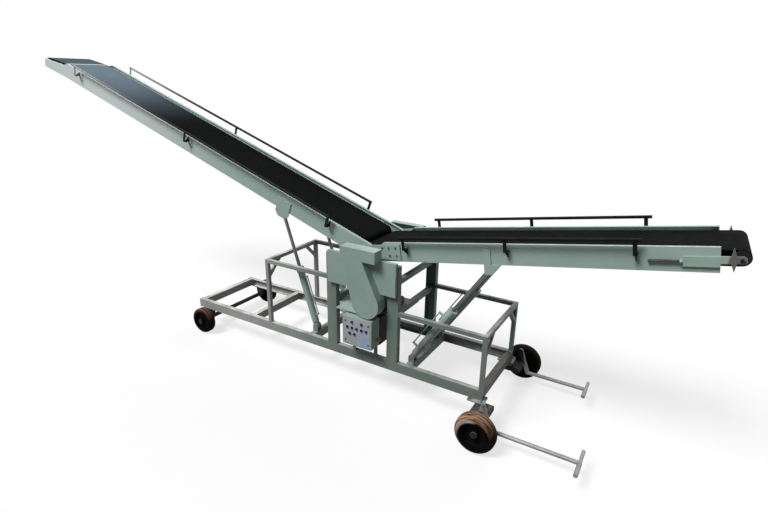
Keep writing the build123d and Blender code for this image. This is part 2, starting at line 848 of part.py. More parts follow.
# Infeed plates: knee plates to the shaft and brackets for the lift cylinders
knee_gap = 5
knee_round = 62
knee_reach = 390
knee_top = 72
knee_low = -84
pad_start = 160
pad_top = 64
pad_low = -78
lift_half = 32
lift_over = 45
lift_under = 30
lift_web = 110
with BuildPart() as infeed_plates:
    with BuildSketch(infeed_side.offset(section_y + knee_gap)):
        Circle(knee_round)
        with BuildLine():
            Polyline(
                (0, knee_round),
                (knee_reach, knee_top),
                (knee_reach, knee_low),
                (0, -knee_round),
                close=True,
            )
        make_face()
        Circle(shaft_radius + running_fit, mode=Mode.SUBTRACT)
    extrude(amount=plate_thick)
    with BuildSketch(infeed_side.offset(section_y)):
        with BuildLine():
            Polyline(
                (pad_start, pad_top),
                (knee_reach, knee_top),
                (knee_reach, knee_low),
                (pad_start, pad_low),
                close=True,
            )
        make_face()
    extrude(amount=knee_gap)
    with BuildSketch(infeed_side.offset(section_y)):
        with BuildLine():
            Polyline(
                (infeed_eye_s - lift_half, lift_over),
                (infeed_eye_s + lift_half, lift_over),
                (infeed_eye_s + lift_half, bottom_t),
                (infeed_eye_s + lift_web, bottom_t),
                (infeed_eye_s + lift_half, infeed_eye_t - lift_under),
                (infeed_eye_s - lift_half, infeed_eye_t - lift_under),
                close=True,
            )
        make_face()
    extrude(amount=plate_thick)
    with BuildSketch(infeed_side.offset(pin_root)):
        with Locations((infeed_eye_s, infeed_eye_t)):
            Circle(pin_radius)
    extrude(amount=section_y - pin_root)
    mirror(about=Plane.XZ)
hand_over(infeed_plates.part, "infeed_plates")

# Lift cylinders: barrels with their oil pipes, and rods, of both sections
boom_eye = boom_side.from_local_coords((boom_eye_s, boom_eye_t, 0))
infeed_eye = infeed_side.from_local_coords((infeed_eye_s, infeed_eye_t, 0))
cap_lap = 10
rod_lap = 5
cylinder_rows = [
    {"name": "boom", "x": boom_foot_x, "z": boom_foot_z, "eye": boom_eye, "barrel": boom_barrel,
     "rod": boom_rod, "play": boom_play, "pipe": -(barrel_radius + boom_pipe_out)},
    {"name": "infeed", "x": infeed_foot_x, "z": infeed_foot_z, "eye": infeed_eye, "barrel": infeed_barrel,
     "rod": infeed_rod, "play": infeed_play, "pipe": barrel_radius + infeed_pipe_out},
]
for row in cylinder_rows:
    run = Vector(row["eye"].X - row["x"], 0, row["eye"].Z - row["z"])
    foot = Plane((row["x"], -cylinder_y, row["z"]), x_dir=(0, 1, 0), z_dir=run.normalized())
    eye_round = pin_radius + eye_wall
    pipe_start = cap + gland
    pipe_end = row["barrel"] - 2 * gland
    with BuildPart() as barrels:
        with BuildSketch(foot):
            Rectangle(eye_width, 2 * eye_round)
        extrude(amount=cap - cap_lap)
        with BuildSketch(foot.offset(cap - 2 * cap_lap)):
            Circle(barrel_radius)
        extrude(amount=row["barrel"] - cap + 2 * cap_lap)
        with BuildSketch(foot.offset(row["barrel"] - gland)):
            Circle(barrel_radius + gland_lip)
        extrude(amount=gland)
        for place in (pipe_start, pipe_end):
            with BuildSketch(foot.offset(place - port / 2)):
                with Locations((0, row["pipe"] / 2)):
                    Rectangle(port, abs(row["pipe"]) + port)
            extrude(amount=port)
        with BuildSketch(foot.offset(pipe_start)):
            with Locations((0, row["pipe"])):
                Circle(pipe_radius)
        extrude(amount=pipe_end - pipe_start)
        with BuildSketch(foot.offset(cap)):
            Circle(bore_radius)
        extrude(amount=row["barrel"] - cap - gland, mode=Mode.SUBTRACT)
        with BuildSketch(foot.offset(cap)):
            Circle(rod_radius + running_fit)
        extrude(amount=row["barrel"] - cap, mode=Mode.SUBTRACT)
        with Locations((row["x"], -cylinder_y, row["z"])):
            Cylinder(eye_round, eye_width, rotation=(90, 0, 0))
            Cylinder(pin_radius + running_fit, eye_width, rotation=(90, 0, 0), mode=Mode.SUBTRACT)
        mirror(about=Plane.XZ)
    hand_over(barrels.part, row["name"] + "_barrels")
    eye_ring = pin_radius + row["play"]
    with BuildPart() as rods:
        with BuildSketch(foot.offset(run.length - row["rod"])):
            Circle(rod_radius)
        extrude(amount=row["rod"] - eye_ring - rod_lap)
        with Locations((row["eye"].X, -cylinder_y, row["eye"].Z)):
            Cylinder(eye_ring + ring_wall, eye_width, rotation=(90, 0, 0))
            Cylinder(eye_ring, eye_width, rotation=(90, 0, 0), mode=Mode.SUBTRACT)
        mirror(about=Plane.XZ)
    hand_over(rods.part, row["name"] + "_rods")

# Front corners: knuckle, tiller and wheel on each side
crown = head_low - king_gap
shoulder_y = front_y - front_width / 2 - side_play
spindle_y = front_y + front_width / 2 - hub_recess + side_play
steer_y = half_width + steer_offset
arm_inner = rail_y - knuckle_width / 2
link_y = steer_y + (steer_thick + link_thick) / 2
link_top = (king_x + link_x, link_z)
link_foot = (king_x + link_x + link_reach, tiller_z)
corner_rows = [
    {"tag": "near", "side": -1, "reach": tiller_reach_near, "grip": grip_near},
    {"tag": "far", "side": 1, "reach": tiller_reach_far, "grip": grip_far},
]
for row in corner_rows:
    side = row["side"]
    tag = row["tag"]
    with BuildPart() as knuckle:
        with Locations((king_x + king_trail / 2, side * (arm_inner + steer_y) / 2, crown - knuckle_height / 2)):
            Box(king_trail + knuckle_width, steer_y - arm_inner, knuckle_height)
        with BuildSketch(Plane.XY.offset(crown)):
            with Locations((king_x, side * rail_y)):
                Circle(king_radius)
        extrude(amount=king_gap + head_drop - 2 * bore_cover)
        with Locations((front_axle_x, side * (steer_y + shoulder_y) / 2, front_axle_z)):
            Cylinder(stub_radius, shoulder_y - steer_y, rotation=(90, 0, 0))
        with Locations((front_axle_x, side * (steer_y + spindle_y) / 2, front_axle_z)):
            Cylinder(spindle_radius, spindle_y - steer_y, rotation=(90, 0, 0))
        with Locations((front_axle_x, side * (spindle_y + cap_thick / 2), front_axle_z)):
            Cylinder(spindle_radius + cap_lip, cap_thick, rotation=(90, 0, 0))
        with BuildSketch(machine_side.offset(-side * steer_y)):
            with Locations((front_axle_x, front_axle_z)):
                Circle(steer_round)
            with Locations(link_top):
                Circle(link_round)
            make_hull()
        extrude(amount=steer_thick / 2, both=True)
    hand_over(knuckle.part, f"knuckle_{tag}")
    bar_y = side * link_y
    grip_x = king_x + row["reach"]
    grip_end = bar_y - row["grip"] / 2
    grip_side = grip_x + tiller_radius
    with BuildPart() as tiller:
        # The thick half of the grip, with the round elbow where the bar turns into it
        with BuildSketch(Plane.XY.offset(tiller_z)):
            with BuildLine():
                Polyline(
                    (grip_x, bar_y + tiller_radius),
                    (grip_x, grip_end),
                    (grip_side, grip_end),
                    (grip_side, bar_y),
                )
                RadiusArc((grip_side, bar_y), (grip_x, bar_y + tiller_radius), -tiller_radius)
            make_face()
        revolve(axis=Axis((grip_x, bar_y, tiller_z), (0, 1, 0)))
        with Locations((grip_x, bar_y + row["grip"] / 4, tiller_z)):
            Cylinder(grip_radius, row["grip"] / 2, rotation=(90, 0, 0))
        with Locations(((link_foot[0] + grip_x) / 2, bar_y, tiller_z)):
            Cylinder(tiller_radius, grip_x - link_foot[0], rotation=(0, 90, 0))
        with BuildSketch(machine_side.offset(-bar_y)):
            with Locations(link_top, link_foot):
                Circle(link_round)
            make_hull()
        extrude(amount=link_thick / 2, both=True)
        with Locations((link_top[0], side * (link_y + link_thick), link_top[1])):
            Cylinder(pin_radius, link_thick, rotation=(90, 0, 0))
    hand_over(tiller.part, f"tiller_{tag}")
    axle_line = Axis((front_axle_x, 0, front_axle_z), (0, 1, 0))
    with BuildPart() as tyre:
        with BuildSketch(Plane.YZ.offset(front_axle_x)):
            with Locations((side * front_y, front_axle_z + (disc_radius + front_radius) / 2)):
                Rectangle(front_width, front_radius - disc_radius)
        revolve(axis=axle_line)
        fillet(tyre.edges().filter_by(GeomType.CIRCLE).group_by(SortBy.RADIUS)[-1], radius=front_shoulder)
    hand_over(tyre.part, f"front_tyre_{tag}")
    with BuildPart() as disc:
        with Locations((front_axle_x, side * front_y, front_axle_z)):
            Cylinder(disc_radius, front_width - 2 * disc_inset, rotation=(90, 0, 0))
        for face in (-1, 1):
            face_y = side * front_y + face * (front_width / 2 - disc_inset)
            with Locations((front_axle_x, face_y, front_axle_z)):
                Cylinder(disc_radius - rim_wall, 2 * dish_depth, rotation=(90, 0, 0), mode=Mode.SUBTRACT)
        with Locations((front_axle_x, side * (front_y - hub_recess / 2), front_axle_z)):
            Cylinder(hub_radius, front_width - hub_recess, rotation=(90, 0, 0))
            Cylinder(spindle_radius + running_fit, front_width, rotation=(90, 0, 0), mode=Mode.SUBTRACT)
    hand_over(disc.part, f"front_disc_{tag}")

# Rear wheels: solid rubber wheels moulded on their hubs
hub_bore = axle_radius + running_fit
for side, tag in ((-1, "near"), (1, "far")):
    with BuildPart() as wheel:
        with BuildSketch(Plane.YZ.offset(rear_axle_x)):
            with Locations((side * rear_y, rear_axle_z + (rear_radius + hub_bore) / 2)):
                Rectangle(rear_width, rear_radius - hub_bore)
        revolve(axis=Axis((rear_axle_x, 0, rear_axle_z), (0, 1, 0)))
        fillet(wheel.edges().filter_by(GeomType.CIRCLE).group_by(SortBy.RADIUS)[-1], radius=rear_shoulder)
        for face in (-1, 1):
            with BuildSketch(machine_side.offset(-side * rear_y - face * rear_width / 2)):
                with Locations((rear_axle_x, rear_axle_z)):
                    Circle(rear_dish)
                    Circle(rear_hub, mode=Mode.SUBTRACT)
            extrude(amount=face * rear_dish_depth, mode=Mode.SUBTRACT)
    hand_over(wheel.part, f"rear_wheel_{tag}")
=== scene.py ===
import json
import math
import bpy
import numpy as np
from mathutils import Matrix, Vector


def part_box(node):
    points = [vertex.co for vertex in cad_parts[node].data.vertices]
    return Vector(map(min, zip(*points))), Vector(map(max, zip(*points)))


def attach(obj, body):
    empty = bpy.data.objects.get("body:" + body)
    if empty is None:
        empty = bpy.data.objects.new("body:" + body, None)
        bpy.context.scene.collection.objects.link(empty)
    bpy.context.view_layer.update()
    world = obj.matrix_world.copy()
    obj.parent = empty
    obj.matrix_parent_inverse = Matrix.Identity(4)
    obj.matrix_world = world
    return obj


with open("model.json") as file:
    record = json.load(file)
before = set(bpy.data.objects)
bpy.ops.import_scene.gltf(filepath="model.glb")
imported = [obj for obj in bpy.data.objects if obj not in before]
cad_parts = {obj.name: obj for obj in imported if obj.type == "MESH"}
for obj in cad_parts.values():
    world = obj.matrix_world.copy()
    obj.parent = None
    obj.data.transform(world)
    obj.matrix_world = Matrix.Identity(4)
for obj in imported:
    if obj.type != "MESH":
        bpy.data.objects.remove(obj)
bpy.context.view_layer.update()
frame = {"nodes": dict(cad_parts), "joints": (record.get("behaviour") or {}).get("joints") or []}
nodes = frame["nodes"]
joints = {joint["name"]: joint for joint in frame["joints"]}
print("frame loaded:", len(nodes), "nodes")

# the knee hinge before and after the chassis takes its slope, and the two sections' angles
stance = {"slope": math.radians(1.154146), "hinge": (0.540, 1.047), "row": joints["boom_lift"]["pos_m"],
          "boomAngle": math.radians(19.0), "infeedAngle": math.radians(9.5)}

# the span of the fine noise over which a roughness runs from its low to its high value
fineSpan = (0.3, 0.7)


# shader helpers

def newGroup(name, inputs, outputs):
    group = bpy.data.node_groups.new(name, "ShaderNodeTree")
    for label, kind, value in inputs:
        socket = group.interface.new_socket(name=label, in_out="INPUT", socket_type=kind)
        socket.default_value = value
    for label, kind in outputs:
        group.interface.new_socket(name=label, in_out="OUTPUT", socket_type=kind)
    entry = group.nodes.new("NodeGroupInput")
    leave = group.nodes.new("NodeGroupOutput")
    return group, entry, leave


def addNode(tree, kind, **settings):
    node = tree.nodes.new(kind)
    for key, value in settings.items():
        setattr(node, key, value)
    return node


def feed(tree, value, socket):
    if isinstance(value, (int, float)):
        socket.default_value = value
    elif isinstance(value, tuple):
        socket.default_value = (*value, 1.0)
    else:
        tree.links.new(value, socket)


def mathNode(tree, operation, first, second=None):
    node = addNode(tree, "ShaderNodeMath", operation=operation)
    feed(tree, first, node.inputs[0])
    if second is not None:
        feed(tree, second, node.inputs[1])
    return node.outputs[0]


def rangeNode(tree, value, fromLow, fromHigh, toLow=0.0, toHigh=1.0, smooth=False):
    node = addNode(tree, "ShaderNodeMapRange", clamp=True)
    if smooth:
        node.interpolation_type = "SMOOTHSTEP"
    feed(tree, value, node.inputs["Value"])
    labels = ("From Min", "From Max", "To Min", "To Max")
    for label, number in zip(labels, (fromLow, fromHigh, toLow, toHigh)):
        feed(tree, number, node.inputs[label])
    return node.outputs["Result"]


def mixColour(tree, factor, first, second):
    node = addNode(tree, "ShaderNodeMix", data_type="RGBA")
    for slot, value in ((0, factor), (6, first), (7, second)):
        feed(tree, value, node.inputs[slot])
    return node.outputs[2]


def noiseNode(tree, vector, scale, detail, rough):
    node = addNode(tree, "ShaderNodeTexNoise")
    feed(tree, vector, node.inputs["Vector"])
    feed(tree, scale, node.inputs["Scale"])
    node.inputs["Detail"].default_value = detail
    node.inputs["Roughness"].default_value = rough
    return node.outputs["Fac"]


def objectPlace(tree):
    return addNode(tree, "ShaderNodeTexCoord").outputs["Object"]


def splitNode(tree, vector):
    node = addNode(tree, "ShaderNodeSeparateXYZ")
    feed(tree, vector, node.inputs[0])
    return node.outputs


def normalUp(tree):
    return splitNode(tree, addNode(tree, "ShaderNodeTexCoord").outputs["Normal"])["Z"]


# metres along the machine, growing towards the infeed
def alongMachine(tree):
    return splitNode(tree, objectPlace(tree))["X"]


def product(tree, *values):
    result = values[0]
    for value in values[1:]:
        result = mathNode(tree, "MULTIPLY", result, value)
    return result


mottleLook = {"fineTimes": 14.0, "broadShare": 0.82}


# mottle: two noises of different size, mixed to an uneven tone from 0 to 1
def mottleGroup():
    group, entry, leave = newGroup(
        "paintMottle",
        [("Scale", "NodeSocketFloat", 3.0), ("Contrast", "NodeSocketFloat", 0.5)],
        [("Tone", "NodeSocketFloat"), ("Fine", "NodeSocketFloat")],
    )
    place = objectPlace(group)
    fineScale = product(group, entry.outputs["Scale"], mottleLook["fineTimes"])
    broad = noiseNode(group, place, entry.outputs["Scale"], detail=5.0, rough=0.6)
    fine = noiseNode(group, place, fineScale, detail=3.0, rough=0.6)
    broadPart = product(group, broad, mottleLook["broadShare"])
    finePart = product(group, fine, 1.0 - mottleLook["broadShare"])
    spread = product(group, entry.outputs["Contrast"], 0.5)
    low = mathNode(group, "SUBTRACT", 0.5, spread)
    high = mathNode(group, "ADD", 0.5, spread)
    tone = rangeNode(group, mathNode(group, "ADD", broadPart, finePart), low, high)
    feed(group, tone, leave.inputs["Tone"])
    feed(group, fine, leave.inputs["Fine"])
    return group


wearLook = {"radius": 0.005, "samples": 4, "bend": (0.995, 0.86), "grit": (0.42, 0.62)}


# edge wear: where a rounded normal leaves the flat one, broken up by noise
def edgeWearGroup():
    group, entry, leave = newGroup(
        "edgeWear",
        [("Amount", "NodeSocketFloat", 0.5), ("Breakup", "NodeSocketFloat", 20.0)],
        [("Mask", "NodeSocketFloat")],
    )
    rounded = addNode(group, "ShaderNodeBevel", samples=wearLook["samples"])
    rounded.inputs["Radius"].default_value = wearLook["radius"]
    dot = addNode(group, "ShaderNodeVectorMath", operation="DOT_PRODUCT")
    feed(group, rounded.outputs[0], dot.inputs[0])
    feed(group, addNode(group, "ShaderNodeNewGeometry").outputs["Normal"], dot.inputs[1])
    bend = rangeNode(group, dot.outputs["Value"], *wearLook["bend"])
    noise = noiseNode(group, objectPlace(group), entry.outputs["Breakup"], detail=6.0, rough=0.7)
    grit = rangeNode(group, noise, *wearLook["grit"])
    feed(group, product(group, bend, grit, entry.outputs["Amount"]), leave.inputs["Mask"])
    return group


dustLook = {"slope": (-0.1, 0.95), "patch": (0.35, 0.7)}


# dust: settles on what faces up, in patches
def dustGroup():
    group, entry, leave = newGroup(
        "settledDust",
        [("Amount", "NodeSocketFloat", 0.4), ("Scale", "NodeSocketFloat", 6.0)],
        [("Mask", "NodeSocketFloat")],
    )
    upward = rangeNode(group, normalUp(group), *dustLook["slope"])
    noise = noiseNode(group, objectPlace(group), entry.outputs["Scale"], detail=6.0, rough=0.65)
    patch = rangeNode(group, noise, *dustLook["patch"])
    feed(group, product(group, upward, patch, entry.outputs["Amount"]), leave.inputs["Mask"])
    return group


grimeAndShadeLook = {
    "stretch": (1.0, 1.0, 0.12), "streakScale": 22.0, "streak": (0.35, 0.7, 0.55, 1.0),
    "cloudScale": 2.6, "cloud": (0.3, 0.65, 0.5, 1.0),
}


# grime and painted shade: grows towards the ground, cloudy, with streaks drawn out along the height
def grimeAndShadeGroup():
    group, entry, leave = newGroup(
        "groundGrimeAndShade",
        [("Amount", "NodeSocketFloat", 0.5),
         ("Low", "NodeSocketFloat", 0.25),
         ("High", "NodeSocketFloat", 1.2)],
        [("Mask", "NodeSocketFloat")],
    )
    place = objectPlace(group)
    span = (entry.outputs["Low"], entry.outputs["High"])
    height = rangeNode(group, splitNode(group, place)["Z"], *span, 1.0, 0.0, True)
    drawn = addNode(group, "ShaderNodeMapping")
    drawn.inputs["Scale"].default_value = grimeAndShadeLook["stretch"]
    feed(group, place, drawn.inputs["Vector"])
    streakNoise = noiseNode(group, drawn.outputs[0], grimeAndShadeLook["streakScale"], detail=3.0, rough=0.6)
    streak = rangeNode(group, streakNoise, *grimeAndShadeLook["streak"])
    cloudNoise = noiseNode(group, place, grimeAndShadeLook["cloudScale"], detail=5.0, rough=0.6)
    cloud = rangeNode(group, cloudNoise, *grimeAndShadeLook["cloud"])
    feed(group, product(group, height, streak, cloud, entry.outputs["Amount"]), leave.inputs["Mask"])
    return group


# reach: metres from the knee hinge out along the boom
def reachGroup():
    group, entry, leave = newGroup("boomReach", [], [("Along", "NodeSocketFloat")])
    place = addNode(group, "ShaderNodeMapping")
    place.inputs["Location"].default_value = [-value for value in stance["row"]]
    feed(group, objectPlace(group), place.inputs["Vector"])
    along = addNode(group, "ShaderNodeVectorMath", operation="DOT_PRODUCT")
    feed(group, place.outputs[0], along.inputs[0])
    slant = stance["boomAngle"] - stance["slope"]
    along.inputs[1].default_value = (-math.cos(slant), 0.0, math.sin(slant))
    feed(group, along.outputs["Value"], leave.inputs["Along"])
    return group


groups = {
    "mottle": mottleGroup(),
    "wear": edgeWearGroup(),
    "dust": dustGroup(),
    "grimeAndShade": grimeAndShadeGroup(),
    "reach": reachGroup(),
}


def useGroup(tree, key, **values):
    node = addNode(tree, "ShaderNodeGroup", node_tree=groups[key])
    for label, value in values.items():
        node.inputs[label].default_value = value
    return node


def newMaterial(name):
    material = bpy.data.materials.new(name)
    material.use_nodes = True
    tree = material.node_tree
    return material, tree, tree.nodes["Principled BSDF"]


def bumpInto(tree, shader, height, strength, distance):
    bump = addNode(tree, "ShaderNodeBump")
    bump.inputs["Strength"].default_value = strength
    bump.inputs["Distance"].default_value = distance
    feed(tree, height, bump.inputs["Height"])
    feed(tree, bump.outputs["Normal"], shader.inputs["Normal"])


# where a paint changes along the machine: metres back from a piece's infeed end, and for the fading
# shares of the rails' length from their rear end
spanLook = {"fade": (0.62, 0.2), "cross": (0.4, 0.25), "takeup": (0.108, 0.094)}
railLow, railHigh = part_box("chassis_rails")
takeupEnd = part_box("takeups")[1][0]
fadeSpan = [railLow[0] + share * (railHigh[0] - railLow[0]) for share in spanLook["fade"]]
crossSpan = [railHigh[0] - back for back in spanLook["cross"]]
takeupSpan = [takeupEnd - back for back in spanLook["takeup"]]
paintCommon = {
    "grimeAndShadeLow": 0.25, "grimeAndShadeHigh": 1.2, "dustTimes": 2.0, "fade": 0.85, "fadeDustAndHighlight": 0.5, "bumpDepth": 0.001,
}


# painted steel: mottled coat, grime and painted shade from below, dust on top and worn edges
# a faded paint pales towards the chassis' rear, where more near-white dust, partly a painted highlight, lies
# on its tops
# a paint with a tip highlight pales towards the boom's tip as a painted highlight, and a darkened one turns
# dark past a place along the machine
def paintMaterial(name, look):
    material, tree, shader = newMaterial(name)
    mottle = useGroup(tree, "mottle", Scale=look["scale"], Contrast=look["contrast"])
    wear = useGroup(tree, "wear", Amount=look["wear"], Breakup=look["breakup"])
    dust = useGroup(tree, "dust", Amount=look["dust"], Scale=look["scale"] * paintCommon["dustTimes"])
    span = {**paintCommon, **look}
    grimeAndShade = useGroup(tree, "grimeAndShade", Amount=look["grimeAndShade"], Low=span["grimeAndShadeLow"], High=span["grimeAndShadeHigh"])
    coat = mixColour(tree, mottle.outputs["Tone"], look["dark"], look["light"])
    # painted shade: the coat darkens towards the ground, partly grime and partly the shade low on the machine
    coat = mixColour(tree, grimeAndShade.outputs["Mask"], coat, look["grimeAndShadeColour"])
    settled = dust.outputs["Mask"]
    if "faded" in look:
        rear = rangeNode(tree, alongMachine(tree), *fadeSpan, 0.0, 1.0, True)
        coat = mixColour(tree, product(tree, rear, paintCommon["fade"]), coat, look["faded"])
        # the near-white top dust, partly a painted highlight, is weaker towards the front
        settled = product(tree, settled, rangeNode(tree, rear, 0.0, 1.0, paintCommon["fadeDustAndHighlight"], 1.0))
    # painted highlight: the coat pales towards the boom's tip
    if "tipHighlight" in look:
        reach = useGroup(tree, "reach").outputs["Along"]
        tip = rangeNode(tree, reach, *look["tipHighlightSpan"], 0.0, look["tipHighlightAmount"], True)
        coat = mixColour(tree, tip, coat, look["tipHighlight"])
    # the coat turns dark past a place along the machine, and dust stays off there
    if "darkened" in look:
        front = rangeNode(tree, alongMachine(tree), *look["darkSpan"])
        coat = mixColour(tree, front, coat, look["darkened"])
        settled = product(tree, settled, mathNode(tree, "SUBTRACT", 1.0, front))
    coat = mixColour(tree, settled, coat, look["dustColour"])
    coat = mixColour(tree, wear.outputs["Mask"], coat, look["bare"])
    feed(tree, coat, shader.inputs["Base Color"])
    rough = rangeNode(tree, mottle.outputs["Fine"], *fineSpan, *look["rough"])
    feed(tree, rough, shader.inputs["Roughness"])
    shader.inputs["Specular IOR Level"].default_value = look["shine"]
    bumpInto(tree, shader, mottle.outputs["Fine"], look["bump"], paintCommon["bumpDepth"])
    return material


